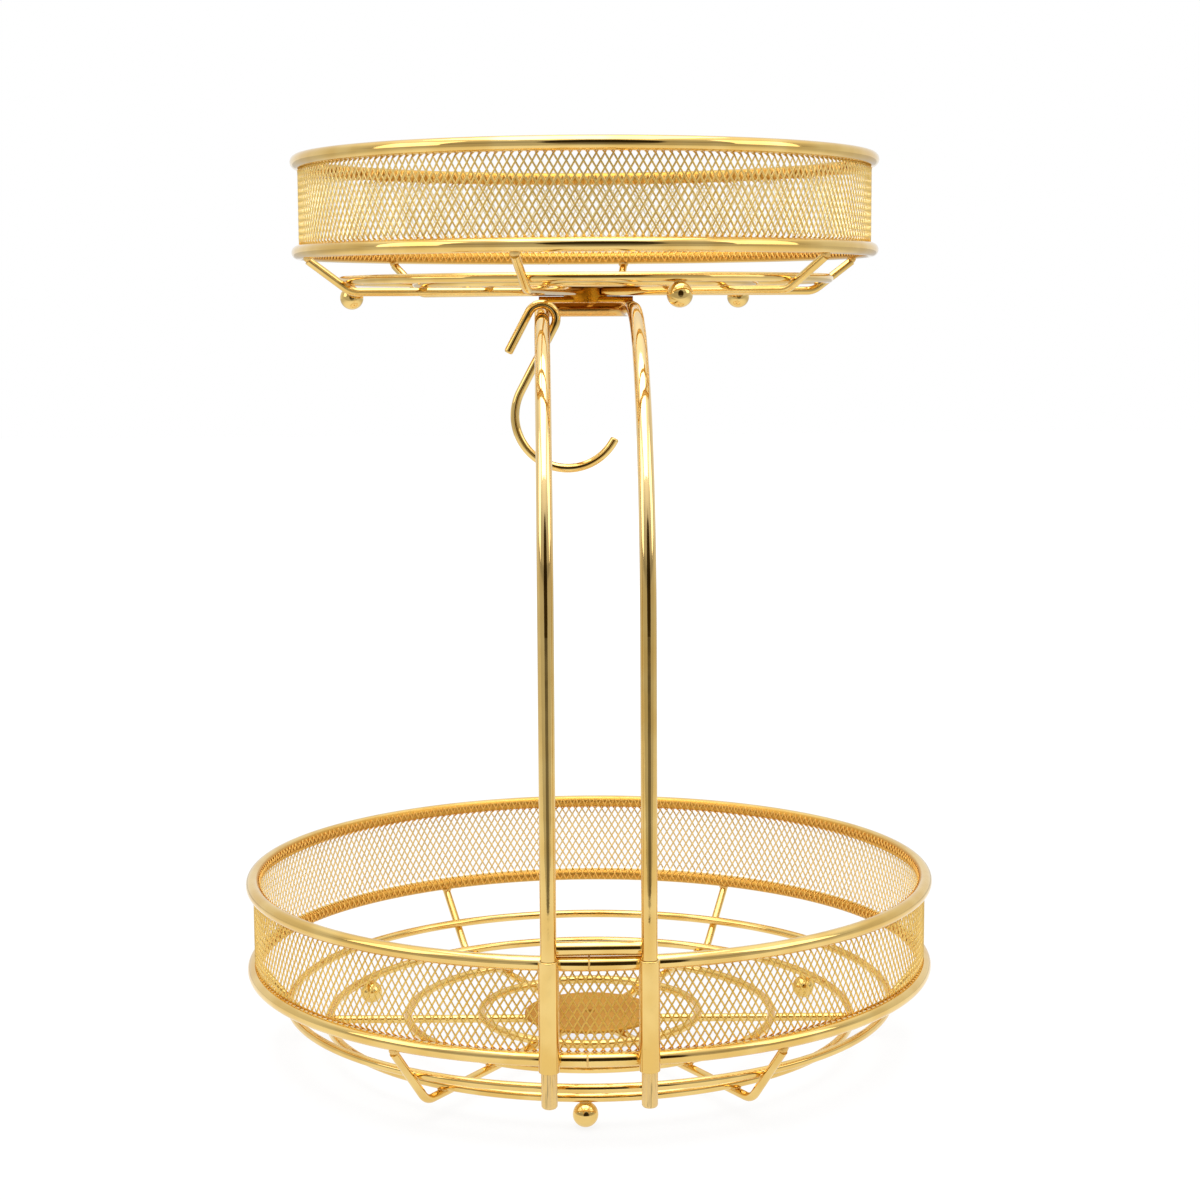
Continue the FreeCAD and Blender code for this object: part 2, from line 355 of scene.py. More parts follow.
def rim_places_group():
    """The side of a rim that looks at the axis, under the mesh's hem, where painted shade goes."""
    group, given, result = new_group(
        "Rim places", "ShaderNodeTree",
        [("Rim radius", FLOAT)],
        [("Inside", FLOAT)])
    low, high = [calc(group, "SUBTRACT", given.outputs["Rim radius"], edge) for edge in RIM_INSIDE_EDGES]
    group.links.new(falling(group, axis_distance(group), low, high), result.inputs["Inside"])
    return group


PLATING = plating_group()
WALL_PLACES = wall_places_group()
RIM_PLACES = rim_places_group()


def gold(name, polish, smear, ripple, pale=PALE_GOLD, deep=DEEP_GOLD, marks=()):
    """A gold finish. Each of its marks is a kind and a function that gives the share of it at a point."""
    made = bpy.data.materials.new(name)
    made.use_nodes = True
    tree = made.node_tree
    shader = tree.nodes["Principled BSDF"]
    shader.inputs["Metallic"].default_value = 1.0
    coat = place_group(tree, PLATING, {
        "Pale gold": (*pale, 1), "Deep gold": (*deep, 1), "Polish": polish, "Smear": smear})
    colour = coat.outputs["Colour"]
    rough = coat.outputs["Roughness"]
    for kind, places in marks:
        mark_colour, mark_rough = MARK[kind]
        share = places(tree)
        colour = blend(tree, share, colour, (*mark_colour, 1))
        rough = spread(tree, share, 0.0, 1.0, rough, mark_rough)
    tree.links.new(colour, shader.inputs["Base Color"])
    tree.links.new(rough, shader.inputs["Roughness"])
    relief = put(tree, "ShaderNodeBump")
    relief.inputs["Strength"].default_value = 1.0
    relief.inputs["Distance"].default_value = ripple
    tree.links.new(coat.outputs["Height"], relief.inputs["Height"])
    tree.links.new(relief.outputs[0], shader.inputs["Normal"])
    return made


def tip_streaks(tree, stretch, detail):
    """Streaks along the posts' ends, and the part of the posts that is below the sleeves."""
    stretched = put(tree, "ShaderNodeMapping", object_place(tree), None, None, stretch).outputs[0]
    streaks = noise(tree, stretched, scale=1.0, detail=detail, roughness=0.6)
    sleeve_low = LOWER["rim_height"] - RIM_WIRE / 2
    height = depth_and_height(tree)[1]
    return streaks, falling(tree, height, sleeve_low, sleeve_low + MM)


def rubbed_tips(tree):
    """The posts' ends below the sleeves, rubbed dull along their length."""
    streaks, below = tip_streaks(tree, BRUSH_STRETCH, detail=3.0)
    return calc(tree, "MULTIPLY", below, spread(tree, streaks, *BRUSH_RANGE, *BRUSH_SHARES))


def tip_scratches(tree):
    """Dark scratches along the posts' ends."""
    streaks, below = tip_streaks(tree, SCRATCH_STRETCH, detail=2.0)
    return calc(tree, "MULTIPLY", below, spread(tree, streaks, *SCRATCH_RANGE, *SCRATCH_SHARES))


def arch_highlight_paint(tree):
    """Painted highlight on the bent part of the posts: a paler, creamier colour there."""
    depth, height = depth_and_height(tree)
    above = rising(tree, height, *ARCH_HEIGHTS)
    before = falling(tree, depth, *ARCH_DEPTHS)
    return calc(tree, "MULTIPLY", above, before)


def bend_shade_paint(tree):
    """Painted shade on the level bend under the upper basket, which is out of the light."""
    return rising(tree, depth_and_height(tree)[0], *BEND_DEPTHS)


def sleeve_pits(tree):
    """Small dark pits in the plating of the right sleeve."""
    place = object_place(tree)
    total = None
    for spot, radius in SLEEVE_PITS:
        point = [length * MM for length in spot]
        away = vector_calc(tree, "DISTANCE", place, point).outputs["Value"]
        pit = falling(tree, away, PIT_CORE * radius * MM, radius * MM)
        total = pit if total is None else calc(tree, "MAXIMUM", total, pit)
    return calc(tree, "MULTIPLY", total, PIT_DARKNESS)


def recess_shade_paint(tree):
    """The walls and floor of the recess in the screw's head: dull, and darkened with painted shade."""
    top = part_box("clamp_screw")[1][2]
    depth = calc(tree, "SUBTRACT", top, depth_and_height(tree)[1])
    below = rising(tree, depth, *SCREW["recess_shade"])
    mouth = SCREW["recess_mouth"][0]
    inside = falling(tree, axis_distance(tree), mouth, mouth + SCREW["recess_fade"])
    return calc(tree, "MULTIPLY", below, inside)


def wall_places(basket, label):
    """A function that gives one of the places on a basket's mesh wall."""
    def places(tree):
        middle = basket["rim_height"] + WALL / 2
        return place_group(tree, WALL_PLACES, {"Wall middle": middle}).outputs[label]
    return places


def rim_shade_paint(basket):
    """A function that gives the inner side of a basket's rims, which takes painted shade."""
    def places(tree):
        return place_group(tree, RIM_PLACES, {"Rim radius": basket["rim_radius"]}).outputs["Inside"]
    return places


FINISH = {
    "wire": gold("polished gold wire", polish=0.07, smear=0.06, ripple=0.06 * MM),
    "post": gold("polished gold post", polish=0.05, smear=0.05, ripple=0.10 * MM,
                 marks=(("rubbed tip", rubbed_tips), ("tip scratch", tip_scratches),
                        ("painted arch highlight", arch_highlight_paint), ("painted bend shade", bend_shade_paint))),
    "sleeve": gold("gold sleeve tube", polish=0.10, smear=0.08, ripple=0.03 * MM,
                   marks=(("sleeve pit", sleeve_pits),)),
    # The centre plate's deep orange-brown colour is painted shade and painted orange reflection
    "plate": gold("satin gold centre plate with painted shade", polish=0.58, smear=0.10, ripple=0.02 * MM,
                  pale=(0.58, 0.30, 0.042), deep=(0.51, 0.24, 0.03)),
    # The saddle strip's deep orange colour is painted shade
    "saddle": gold("gold saddle strip with painted shade", polish=0.24, smear=0.12, ripple=0.02 * MM,
                   pale=(0.72, 0.35, 0.025), deep=(0.64, 0.29, 0.015)),
    "weld": gold("gold over weld", polish=0.56, smear=0.12, ripple=0.12 * MM,
                 pale=(0.90, 0.64, 0.25), deep=(0.80, 0.52, 0.16)),
    "screw": gold("gold screw", polish=0.12, smear=0.08, ripple=0.03 * MM,
                  marks=(("painted screw recess shade", recess_shade_paint),)),
}
for name, basket in BASKETS:
    FINISH[name + "_rim"] = gold(
        "polished gold rim of the " + name + " basket", polish=0.055, smear=0.05, ripple=0.06 * MM,
        marks=(("painted rim inside shade", rim_shade_paint(basket)),))
    FINISH[name + "_mesh"] = gold(
        "gold mesh of the " + name + " wall", polish=0.36, smear=0.10, ripple=0.01 * MM,
        pale=basket["mesh_pale"], deep=basket["mesh_deep"],
        # The faces that look at the axis get painted light
        marks=((name + " inner face painted light", wall_places(basket, "Inner faces")),
               ("hem", wall_places(basket, "Hem"))))

# The finish of a solid that has one of these words in its name
FINISH_WORDS = (
    ("hairpin", "post"),
    ("sleeve", "sleeve"),
    ("plate", "plate"),
    ("strip", "saddle"),
    ("screw", "screw"),
)


def finish_of(node):
    """The finish for a solid, by the kind of piece it is."""
    for basket_name in ("lower", "upper"):
        for word in ("rim", "mesh"):
            if node.startswith(basket_name) and word in node:
                return FINISH[basket_name + "_" + word]
    for word, finish in FINISH_WORDS:
        if word in node:
            return FINISH[finish]
    return FINISH["wire"]


for node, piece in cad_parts.items():
    if not piece.material_slots:
        piece.data.materials.append(None)
    for place in piece.material_slots:
        place.material = finish_of(node)


def plain_mesh(piece):
    """Turn what a piece's modifiers make into its own plain mesh."""
    bpy.context.view_layer.update()
    ready = piece.evaluated_get(bpy.context.evaluated_depsgraph_get())
    plain = bpy.data.meshes.new_from_object(ready)
    piece.modifiers.clear()
    piece.data = plain
    return plain


def grown(name, tree, values, seed=None):
    """Run a geometry tree on a seed mesh and keep the result as a plain mesh."""
    piece = bpy.data.objects.new(name, seed or bpy.data.meshes.new(name + " seed"))
    scene.collection.objects.link(piece)
    grow = piece.modifiers.new("grow", "NODES")
    grow.node_group = tree
    for item in tree.interface.items_tree:
        if item.item_type == "SOCKET" and item.in_out == "INPUT" and item.name in values:
            grow[item.identifier] = values[item.name]
    plain_mesh(piece)
    return piece


def hand_out(tree, result, geometry, finish):
    """Set the finish on a tree's geometry and end the tree with it."""
    finished = put(tree, "GeometryNodeSetMaterial", geometry, None, finish).outputs[0]
    tree.links.new(finished, result.inputs[0])


def mesh_wall_tree():
    """Expanded mesh: two families of strands that lean left and right round the wall and cross in rows."""
    tree, given, result = new_group(
        "Expanded mesh wall", "GeometryNodeTree",
        [("Rim radius", FLOAT), ("Rim wire", FLOAT), ("Rim spacing", FLOAT),
         ("Wall foot", FLOAT), ("Wall height", FLOAT), ("Wall inset", FLOAT), ("Axis depth", FLOAT),
         ("Strands", INTEGER), ("Rows", INTEGER), ("Strand width", FLOAT), ("Strand depth", FLOAT),
         ("Tilt", FLOAT), ("Hem", FLOAT), ("Finish", MATERIAL)],
        [("Geometry", GEOMETRY)])
    size = {socket.name: socket for socket in given.outputs}

    # Each strand has a point at every crossing and one between each two
    index = put(tree, "GeometryNodeInputIndex").outputs[0]
    steps = calc(tree, "MULTIPLY", size["Rows"], 2.0)
    points = calc(tree, "ADD", steps, 1.0)
    share = calc(tree, "DIVIDE", index, steps)
    height = calc(tree, "MULTIPLY_ADD", share, size["Wall height"], size["Wall foot"])
    lean = calc(tree, "DIVIDE", calc(tree, "MULTIPLY", size["Rows"], math.pi), size["Strands"])

    # Near a rim the strands follow the inside of its round wire
    from_middle = calc(tree, "MULTIPLY", calc(tree, "SUBTRACT", share, 0.5), size["Wall height"])
    half_spacing = calc(tree, "MULTIPLY", size["Rim spacing"], 0.5)
    from_rim = calc(tree, "SUBTRACT", half_spacing, calc(tree, "ABSOLUTE", from_middle))
    half_wire = calc(tree, "MULTIPLY", size["Rim wire"], 0.5)
    wire_square = calc(tree, "POWER", half_wire, 2.0)
    chord = calc(tree, "SUBTRACT", wire_square, calc(tree, "POWER", from_rim, 2.0))
    bulge = calc(tree, "SQRT", calc(tree, "MAXIMUM", chord, 0.0))
    stand_off = calc(tree, "MULTIPLY", size["Strand depth"], STRAND_STAND_OFF)
    inward = calc(tree, "MAXIMUM", calc(tree, "ADD", bulge, stand_off), size["Wall inset"])
    reach = calc(tree, "SUBTRACT", size["Rim radius"], inward)
    hem_start = calc(tree, "MULTIPLY", size["Rim wire"], STRAND_HEM_START)
    on_rim = falling(tree, from_rim, hem_start, half_wire)

    # Width of the strands along their length, and the turn from one strand to the next
    between = calc(tree, "MODULO", index, 2.0)
    body = calc(tree, "MULTIPLY_ADD", between, STRAND_NECKING, STRAND_CROSSING)
    body = calc(tree, "MULTIPLY_ADD", on_rim, size["Hem"], body)
    tilt = calc(tree, "MULTIPLY", calc(tree, "SUBTRACT", 1.0, on_rim), size["Tilt"])
    profile = put(tree, "GeometryNodeCurvePrimitiveQuadrilateral", size["Strand depth"], size["Strand width"])
    step = calc(tree, "DIVIDE", 2.0 * math.pi, size["Strands"])
    turn = put(tree, "ShaderNodeCombineXYZ", 0.0, 0.0, calc(tree, "MULTIPLY", index, step)).outputs[0]

    join = tree.nodes.new("GeometryNodeJoinGeometry")
    for side in (1.0, -1.0):
        angle = calc(tree, "MULTIPLY", calc(tree, "MULTIPLY", share, lean), side)
        right = calc(tree, "MULTIPLY", reach, calc(tree, "COSINE", angle))
        back = calc(tree, "MULTIPLY", reach, calc(tree, "SINE", angle))
        spot = put(tree, "ShaderNodeCombineXYZ", right, back, height).outputs[0]
        line = tree.nodes.new("GeometryNodeMeshLine")
        tree.links.new(points, line.inputs["Count"])
        strand = put(tree, "GeometryNodeSetPosition", line.outputs[0], None, spot).outputs[0]
        strand = put(tree, "GeometryNodeMeshToCurve", strand).outputs[0]
        strand = put(tree, "GeometryNodeSetCurveNormal", strand, mode="Z_UP").outputs[0]
        twist = calc(tree, "MULTIPLY", tilt, side)
        strand = put(tree, "GeometryNodeSetCurveTilt", strand, None, twist).outputs[0]
        strand = put(tree, "GeometryNodeSetCurveRadius", strand, None, body).outputs[0]
        tube = tree.nodes.new("GeometryNodeCurveToMesh")
        tree.links.new(strand, tube.inputs["Curve"])
        tree.links.new(profile.outputs[0], tube.inputs["Profile Curve"])
        around = tree.nodes.new("GeometryNodeMeshLine")
        around.inputs["Offset"].default_value = (0, 0, 0)
        tree.links.new(size["Strands"], around.inputs["Count"])
        copies = tree.nodes.new("GeometryNodeInstanceOnPoints")
        tree.links.new(around.outputs[0], copies.inputs["Points"])
        tree.links.new(tube.outputs[0], copies.inputs["Instance"])
        tree.links.new(turn, copies.inputs["Rotation"])
        tree.links.new(copies.outputs[0], join.inputs[0])
    real = put(tree, "GeometryNodeRealizeInstances", join.outputs[0]).outputs[0]
    shift = put(tree, "ShaderNodeCombineXYZ", 0.0, size["Axis depth"], 0.0).outputs[0]
    placed = put(tree, "GeometryNodeSetPosition", real, None, None, shift).outputs[0]
    hand_out(tree, result, placed, size["Finish"])
    return tree


MESH_WALL = mesh_wall_tree()
for name, basket in BASKETS:
    wall = grown(name + "_expanded_mesh", MESH_WALL, {
        "Rim radius": basket["rim_radius"],
        "Rim wire": RIM_WIRE,
        "Rim spacing": WALL,
        "Wall foot": basket["rim_height"] - RIM_WIRE / 2 + MESH_EDGE,
        "Wall height": WALL + RIM_WIRE - 2 * MESH_EDGE,
        "Wall inset": MESH_INSET,
        "Axis depth": AXIS_Y,
        "Strands": basket["strands"],
        "Rows": MESH_ROWS,
        "Strand width": basket["strand_width"],
        "Strand depth": STRAND_DEPTH,
        "Tilt": STRAND_TILT,
        "Hem": STRAND_HEM,
        "Finish": FINISH[name + "_mesh"],
    })
    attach(wall, basket["body"])
    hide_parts(name + "_mesh_wall")


def on_seed_points(tree, points, shape, axis):
    """Real copies of a shape on seed points, sized and aimed by each point's own values."""
    size = put(tree, "GeometryNodeInputNamedAttribute", "bead", data_type="FLOAT_VECTOR").outputs[0]
    aim = put(tree, "GeometryNodeInputNamedAttribute", "along", data_type="FLOAT_VECTOR").outputs[0]
    facing = put(tree, "FunctionNodeAlignRotationToVector", None, None, aim, axis=axis).outputs[0]
    copies = tree.nodes.new("GeometryNodeInstanceOnPoints")
    tree.links.new(points, copies.inputs["Points"])
    tree.links.new(shape, copies.inputs["Instance"])
    tree.links.new(facing, copies.inputs["Rotation"])
    tree.links.new(size, copies.inputs["Scale"])
    return put(tree, "GeometryNodeRealizeInstances", copies.outputs[0]).outputs[0]


def weld_tree():
    """Weld beads: a lumpy drop on every seed point."""
    tree, given, result = new_group(
        "Weld beads", "GeometryNodeTree",
        [("Geometry", GEOMETRY), ("Lump", FLOAT), ("Finish", MATERIAL)], [("Geometry", GEOMETRY)])
    radius = 1.0
    rounds = 3
    drop = put(tree, "GeometryNodeMeshIcoSphere", radius, rounds).outputs[0]
    dents = noise(tree, None, scale=1.6, detail=1.0, roughness=0.5)
    lump = calc(tree, "MULTIPLY", calc(tree, "SUBTRACT", dents, 0.5), given.outputs["Lump"])
    push = vector_calc(tree, "SCALE", put(tree, "GeometryNodeInputNormal").outputs[0])
    tree.links.new(lump, push.inputs["Scale"])
    drop = put(tree, "GeometryNodeSetPosition", drop, None, None, push.outputs[0]).outputs[0]
    drop = put(tree, "GeometryNodeSetShadeSmooth", drop).outputs[0]
    real = on_seed_points(tree, given.outputs["Geometry"], drop, "X")
    hand_out(tree, result, real, given.outputs["Finish"])
    return tree


def round_axis(radius, height, angle):
    """A point at this distance from the baskets' axis, at this height and angle in degrees."""
    turn = math.radians(angle)
    return Vector((radius * math.cos(turn), AXIS_Y + radius * math.sin(turn), height))


def across(angle):
    """The direction along a ring at this angle."""
    turn = math.radians(angle)
    return Vector((-math.sin(turn), math.cos(turn), 0))


def bead(kind):
    """The half sizes of a weld bead in metres."""
    return Vector(BEAD[kind]) * MM


def weld_seed(name, welds):
    """Seed points that carry each bead's half sizes and direction."""
    seed = bpy.data.meshes.new(name)
    seed.from_pydata([weld[0] for weld in welds], [], [])
    for label, column in (("bead", 1), ("along", 2)):
        values = seed.attributes.new(label, "FLOAT_VECTOR", "POINT")
        for item, weld in zip(values.data, welds):
            item.vector = weld[column]
    return seed


def basket_welds(basket):
    """Welds of one basket: spokes to rim, rings to spokes and feet to their ring."""
    welds = []
    rise = math.radians(basket["slope"])
    slant = Vector((math.cos(rise), math.sin(rise)))
    under = Vector((math.sin(rise), -math.cos(rise)))
    corner = Vector((basket["bend"], basket["spoke_height"]))
    rim = Vector((basket["rim_radius"], basket["rim_height"]))
    top = corner + slant * ((rim - corner).dot(slant) - SPOKE_END_SETBACK)
    touch = rim + (top - rim).normalized() * RIM_WIRE / 2
    on_slope = Vector(basket["slope_ring"]) + under * RING_WIRE / 2
    for angle in basket["spokes"]:
        along = across(angle)
        welds.append((round_axis(*touch, angle), bead("spoke end"), along))
        welds.append((round_axis(*on_slope, angle), bead("slope ring"), along))
        for radius in basket["rings"]:
            spot = round_axis(radius, basket["ring_height"] - RING_WIRE / 2, angle)
            welds.append((spot, bead("floor ring"), along))
    ring, ring_height = basket["foot_ring"]
    for angle in basket["feet"]:
        spot = round_axis(ring, ring_height - RING_WIRE / 2, angle)
        welds.append((spot, bead("foot"), across(angle)))
    return welds


def stand_and_sleeve_welds():
    """Welds of the sleeves to the lower rims, and of the crossbar and saddle strip to the hairpin."""
    sleeve_welds = []
    stand_welds = []
    sideways = Vector((1, 0, 0))
    reach = LOWER["rim_radius"] + RIM_WIRE / 2
    for side in (-1, 1):
        angle = -90 + side * math.degrees(math.asin(POST_X / (reach + SLEEVE_RADIUS)))
        for lift in (0.0, WALL):
            spot = round_axis(reach, LOWER["rim_height"] + lift, angle)
            sleeve_welds.append((spot, bead("sleeve"), across(angle)))
        spot = Vector((side * POST_X, POST_Y + POST_WIRE / 2, CROSSBAR_HEIGHT))
        stand_welds.append((spot, bead("crossbar"), sideways))
        for end in (-1, 1):
            spot = Vector((side * POST_X, AXIS_Y + end * SADDLE_HALF_WIDTH, SADDLE_WELD_HEIGHT))
            stand_welds.append((spot, bead("saddle"), sideways))
    return stand_welds, sleeve_welds


WELDS = weld_tree()
stand_welds, sleeve_welds = stand_and_sleeve_welds()
for name, body, welds in (("lower_basket_welds", "lower_basket", basket_welds(LOWER) + sleeve_welds),
                          ("upper_basket_welds", "upper_basket", basket_welds(UPPER)),
                          ("stand_welds", "stand", stand_welds)):
    seed = weld_seed(name + " seed", welds)
    beads = grown(name, WELDS, {"Lump": BEAD_LUMP, "Finish": FINISH["weld"]}, seed)
    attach(beads, body)


def seam_tree():
    """Butt seams: a low swollen band round a wire where its two ends were joined."""
    tree, given, result = new_group(
        "Butt seams", "GeometryNodeTree",
        [("Geometry", GEOMETRY), ("Finish", MATERIAL)], [("Geometry", GEOMETRY)])
    loop = put(tree, "GeometryNodeCurvePrimitiveCircle", SEAM_SIDES).outputs[0]
    real = on_seed_points(tree, given.outputs["Geometry"], loop, "Z")
    band = put(tree, "GeometryNodeCurvePrimitiveCircle", SEAM_BAND_SIDES)
    band.inputs["Radius"].default_value = SEAM_BAND
    tube = tree.nodes.new("GeometryNodeCurveToMesh")
    tree.links.new(real, tube.inputs["Curve"])
    tree.links.new(band.outputs[0], tube.inputs["Profile Curve"])
    smooth = put(tree, "GeometryNodeSetShadeSmooth", tube.outputs[0]).outputs[0]
    hand_out(tree, result, smooth, given.outputs["Finish"])
    return tree


SEAMS = seam_tree()
for name, basket in (("lower_rim_seams", LOWER), ("upper_rim_seams", UPPER)):
    swell = RIM_WIRE / 2 - SEAM_SINK
    seams = []
    for lift, angle in basket["seams"]:
        spot = round_axis(basket["rim_radius"], basket["rim_height"] + lift, angle)
        seams.append((spot, (swell, swell, 1.0), across(angle)))
    bands = grown(name, SEAMS, {"Finish": FINISH["weld"]}, weld_seed(name + " seed", seams))
    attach(bands, basket["body"])


def closed_mesh(name, form):
    """A closed mesh with its doubles merged and its faces outwards."""
    bmesh.ops.remove_doubles(form, verts=form.verts, dist=0.001 * MM)
    bmesh.ops.recalc_face_normals(form, faces=form.faces)
    made = bpy.data.meshes.new(name)
    form.to_mesh(made)
    form.free()
    piece = bpy.data.objects.new(name, made)
    scene.collection.objects.link(piece)
    return piece


def turned_screw(low, top):
    """The screw without its recess, turned from its outline: tip, shank and a head with a round crown."""
    shank = SCREW["shank"]
    head = SCREW["head"]
    crown = SCREW["crown"]
    tip = SCREW["tip"]
    seat = top - SCREW["head_height"]
    outline = [(0, low), (shank - tip, low), (shank, low + tip), (shank, seat), (head, seat)]
    for step in range(SCREW["crown_steps"] + 1):
        turn = math.radians(90 * step / SCREW["crown_steps"])
        outline.append((head - crown + crown * math.cos(turn), top - crown + crown * math.sin(turn)))
    outline.append((0, top))
    form = bmesh.new()
    points = [form.verts.new((radius, AXIS_Y, height)) for radius, height in outline]
    lines = [form.edges.new(pair) for pair in zip(points, points[1:])]
    bmesh.ops.spin(form, geom=points + lines, cent=(0, AXIS_Y, 0), axis=(0, 0, 1),
                   angle=2 * math.pi, steps=SCREW["sides"])
    return closed_mesh("clamp_screw_head", form)


def cross_bit(top):
    """The driver's cross, which tapers downwards and cuts the recess."""
    form = bmesh.new()
    rows = []
    for (reach, half), height in ((SCREW["recess_mouth"], top + SCREW["recess_overcut"]),
                                  (SCREW["recess_floor"], top - SCREW["recess_depth"])):
        row = []
        for quarter in range(4):
            turn = math.radians(90 * quarter + SCREW["recess_turn"])
            for out, aside in ((reach, half), (reach, -half), (half, -half)):
                right = out * math.cos(turn) + aside * math.sin(turn)
                back = aside * math.cos(turn) - out * math.sin(turn)
                row.append(form.verts.new((right, AXIS_Y + back, height)))
        rows.append(row)
    mouth, floor = rows
    form.faces.new(mouth)
    form.faces.new(floor)
    for index in range(len(mouth)):
        form.faces.new((mouth[index - 1], mouth[index], floor[index], floor[index - 1]))
    return closed_mesh("cross bit", form)


def build_screw():
    """The clamp screw with a cross recess in its head."""
    low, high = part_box("clamp_screw")
    piece = turned_screw(low[2], high[2])
    bit = cross_bit(high[2])
    recess = piece.modifiers.new("recess", "BOOLEAN")
    recess.operation = "DIFFERENCE"
    recess.solver = "EXACT"
    recess.object = bit
    plain = plain_mesh(piece)
    bpy.data.objects.remove(bit)
    plain.shade_smooth()
    plain.set_sharp_from_angle(angle=math.radians(SCREW["sharp_angle"]))
    plain.materials.clear()
    plain.materials.append(FINISH["screw"])
    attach(piece, "stand")
    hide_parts("clamp_screw")


build_screw()

# The table's reach to each side, to the front and to the back, in metres
TABLE_SIDE = 4.0
TABLE_FRONT = -0.52
TABLE_BACK = 5.0
TABLE_MATT = (0.8, 0.8, 0.8, 1)
TABLE_SHADE = (0.12, 0.12, 0.12, 1)
TABLE_GLOW = 0.86

# How the table changes with distance: dimmer where metal mirrors it, whiter where it is seen
MIRRORED_FADE = (0.25, 1.1, 0.0, 0.34)
SEEN_LIFT = (0.3, 1.2, 0.0, 0.16)

# Softboxes: name, place, point aimed at, width and depth, power
SOFTBOXES = (
    ("overhead softbox", (-0.05, -0.33, 1.5), (-0.05, -0.33, 0.0), (1.2, 1.45), 15.0),
    ("left softbox", (-1.12, -0.40, 0.90), (0.0, 0.0, 0.2), (0.7, 0.8), 2.8),
    ("right softbox", (1.12, -0.40, 0.90), (0.0, 0.0, 0.2), (0.7, 0.8), 2.8),
)

# Light of the room before, behind and above the basket, a dimmer band and a dark oval before it
ROOM_FRONT = 0.54
ROOM_BACK_GAIN = 0.40
ROOM_DEPTHS = (-0.6, 1.2)
ROOM_ABOVE = 1.3
ABOVE_HEIGHTS = (0.45, 0.90)
BAND_HEIGHT = 0.24
BAND_FADE = (0.03, 0.10, 0.35, 0.0)
BAND_DEPTHS = (-0.2, 0.3)
OVAL_MIDDLE = (0.08, 0.0, 0.10)
OVAL_SCALE = (1 / 0.44, 0.0, 1 / 0.55)
OVAL_EDGE = (0.88, 1.0)
OVAL_DEPTHS = (-0.5, -0.4)
OVAL_FOOT = (-0.20, -0.08, 0.7, 1.0)
OVAL_DARK = (0.075, 0.052, 0.02, 1)

# The viewing angle, from a fit to the rims, feet, posts and rings
CAMERA_PLACE = (-0.02302, -1.000912, 0.32122)
CAMERA_FORWARD = (0.028166, 0.991916, -0.123732)
CAMERA_TILT = 0.32
CAMERA_LENS = 69.76
CAMERA_SENSOR = 36.0
CAMERA_NEAR = 0.05
CAMERA_FAR = 50.0


def build_stage():
    """A white table under the basket, seen as white and still taking its shadow."""
    table = bpy.data.meshes.new("table")
    corners = [(-TABLE_SIDE, TABLE_FRONT, 0), (TABLE_SIDE, TABLE_FRONT, 0),
               (TABLE_SIDE, TABLE_BACK, 0), (-TABLE_SIDE, TABLE_BACK, 0)]
    table.from_pydata(corners, [], [(0, 1, 2, 3)])
    floor = bpy.data.objects.new("table", table)
    scene.collection.objects.link(floor)
    paint = bpy.data.materials.new("white table top")
    paint.use_nodes = True
    tree = paint.node_tree
    tree.nodes.clear()
    seen = put(tree, "ShaderNodeLightPath")
    rays = calc(tree, "MAXIMUM", seen.outputs["Is Camera Ray"], seen.outputs["Is Glossy Ray"])
    rays = calc(tree, "MAXIMUM", rays, seen.outputs["Is Transmission Ray"])
    matt = put(tree, "ShaderNodeBsdfDiffuse", TABLE_MATT).outputs[0]
    pale = put(tree, "ShaderNodeBsdfDiffuse", TABLE_SHADE).outputs[0]
    away = vector_calc(tree, "LENGTH", object_place(tree)).outputs["Value"]
    fade = calc(tree, "MULTIPLY", spread(tree, away, *MIRRORED_FADE), seen.outputs["Is Glossy Ray"])
    lift = calc(tree, "MULTIPLY", spread(tree, away, *SEEN_LIFT), seen.outputs["Is Camera Ray"])
    level = calc(tree, "ADD", calc(tree, "SUBTRACT", TABLE_GLOW, fade), lift)
    glow = put(tree, "ShaderNodeEmission", WHITE, level).outputs[0]
    bright = put(tree, "ShaderNodeAddShader", pale, glow).outputs[0]
    mixed = put(tree, "ShaderNodeMixShader", rays, matt, bright).outputs[0]
    put(tree, "ShaderNodeOutputMaterial", mixed)
    table.materials.append(paint)


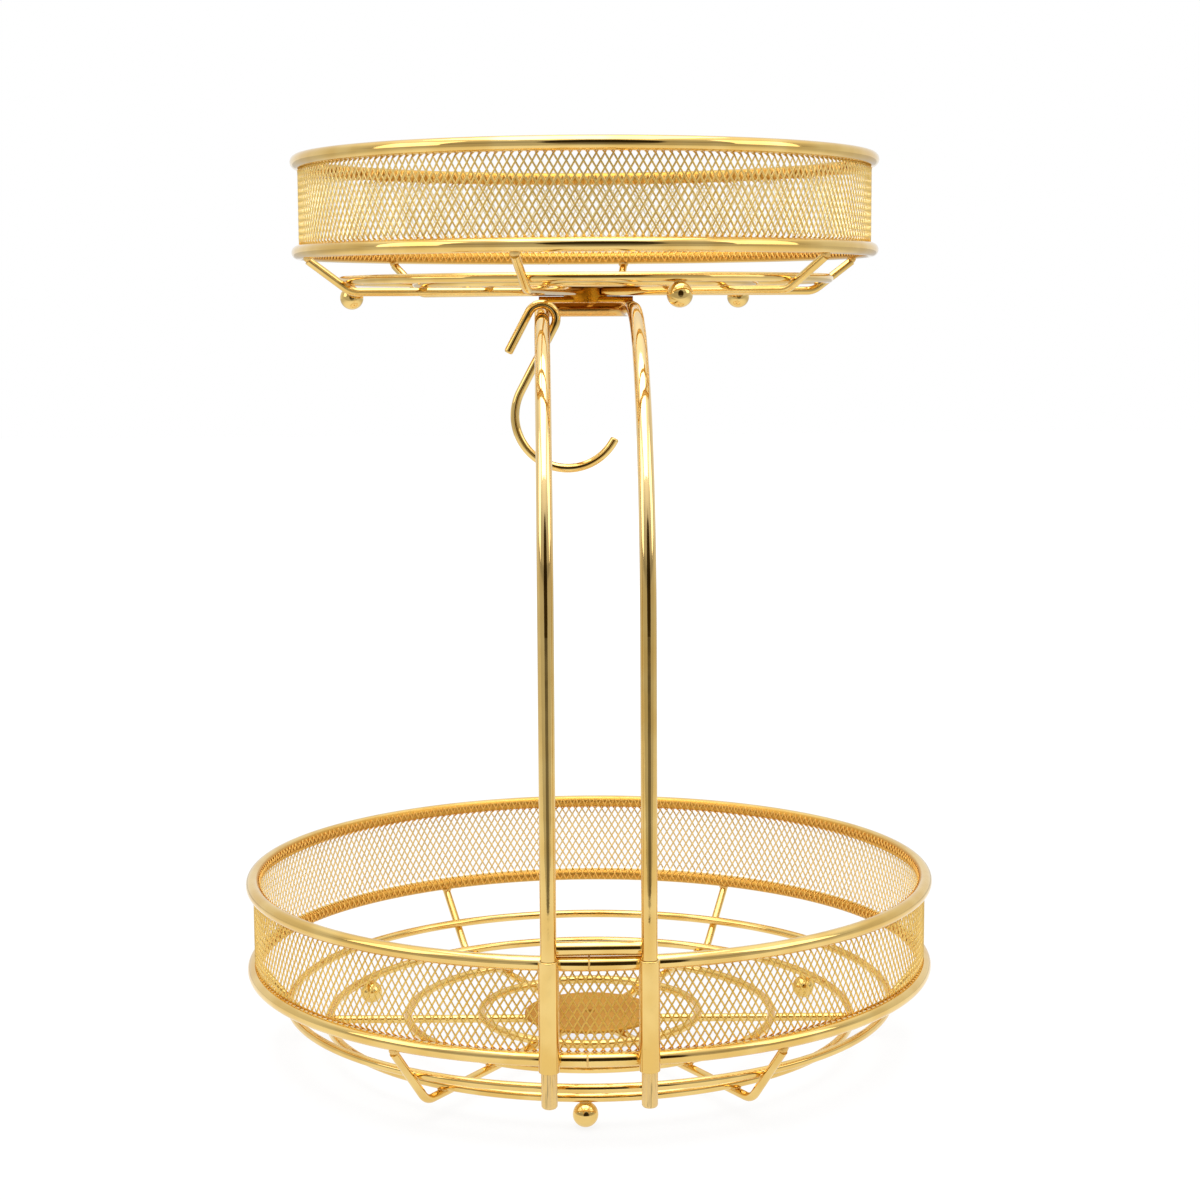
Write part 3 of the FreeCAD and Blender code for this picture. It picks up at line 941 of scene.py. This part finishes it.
def build_room():
    """Soft studio surroundings: white behind and above, dimmer before the basket, with a dark oval there."""
    world = bpy.data.worlds.new("studio")
    scene.world = world
    world.use_nodes = True
    tree = world.node_tree
    tree.nodes.clear()
    way = put(tree, "ShaderNodeTexCoord").outputs["Generated"]
    parts = put(tree, "ShaderNodeSeparateXYZ", way)
    back = parts.outputs[1]
    up = parts.outputs[2]
    walls = calc(tree, "MULTIPLY_ADD", rising(tree, back, *ROOM_DEPTHS), ROOM_BACK_GAIN, ROOM_FRONT)
    from_band = calc(tree, "ABSOLUTE", calc(tree, "SUBTRACT", up, BAND_HEIGHT))
    band = calc(tree, "MULTIPLY", spread(tree, from_band, *BAND_FADE), falling(tree, back, *BAND_DEPTHS))
    walls = calc(tree, "MULTIPLY", walls, calc(tree, "SUBTRACT", 1.0, band))
    above = rising(tree, up, *ABOVE_HEIGHTS)
    lit = calc(tree, "MULTIPLY_ADD", above, calc(tree, "SUBTRACT", ROOM_ABOVE, walls), walls)
    oval = vector_calc(tree, "SUBTRACT", way, OVAL_MIDDLE).outputs[0]
    oval = vector_calc(tree, "MULTIPLY", oval, OVAL_SCALE).outputs[0]
    edge = vector_calc(tree, "LENGTH", oval).outputs["Value"]
    ahead = falling(tree, back, *OVAL_DEPTHS)
    shade = calc(tree, "MULTIPLY", falling(tree, edge, *OVAL_EDGE), ahead)
    shade = calc(tree, "MULTIPLY", shade, spread(tree, up, *OVAL_FOOT))
    tone = blend(tree, shade, WHITE, OVAL_DARK)
    room = put(tree, "ShaderNodeBackground", tone, lit).outputs[0]
    sheet = put(tree, "ShaderNodeBackground", WHITE, 1.0).outputs[0]
    seen = put(tree, "ShaderNodeLightPath")
    mixed = put(tree, "ShaderNodeMixShader", seen.outputs["Is Camera Ray"], room, sheet).outputs[0]
    put(tree, "ShaderNodeOutputWorld", mixed)


def build_softboxes():
    """The lamps above the basket and to both sides of it."""
    for name, spot, target, (width, depth), power in SOFTBOXES:
        lamp = bpy.data.lights.new(name, "AREA")
        lamp.shape = "RECTANGLE"
        lamp.size = width
        lamp.size_y = depth
        lamp.energy = power
        holder = bpy.data.objects.new(name, lamp)
        holder.location = spot
        aim = Vector(target) - Vector(spot)
        holder.rotation_euler = aim.to_track_quat("-Z", "Y").to_euler()
        scene.collection.objects.link(holder)


def build_camera():
    """The viewing angle: from the front, a little left and above, tilted very slightly."""
    lens = bpy.data.cameras.new("camera")
    lens.sensor_width = CAMERA_SENSOR
    lens.lens = CAMERA_LENS
    lens.clip_start = CAMERA_NEAR
    lens.clip_end = CAMERA_FAR
    camera = bpy.data.objects.new("camera", lens)
    forward = Vector(CAMERA_FORWARD).normalized()
    right = forward.cross(Vector((0, 0, 1))).normalized()
    up = right.cross(forward)
    tilt = math.radians(CAMERA_TILT)
    across_view = right * math.cos(tilt) - up * math.sin(tilt)
    up_view = right * math.sin(tilt) + up * math.cos(tilt)
    matrix = camera.matrix_world.copy()
    for column, axis in enumerate((across_view, up_view, -forward, Vector(CAMERA_PLACE))):
        for row in range(3):
            matrix[row][column] = axis[row]
    camera.matrix_world = matrix
    scene.collection.objects.link(camera)
    scene.camera = camera


build_stage()
build_room()
build_softboxes()
build_camera()

bpy.context.view_layer.update()
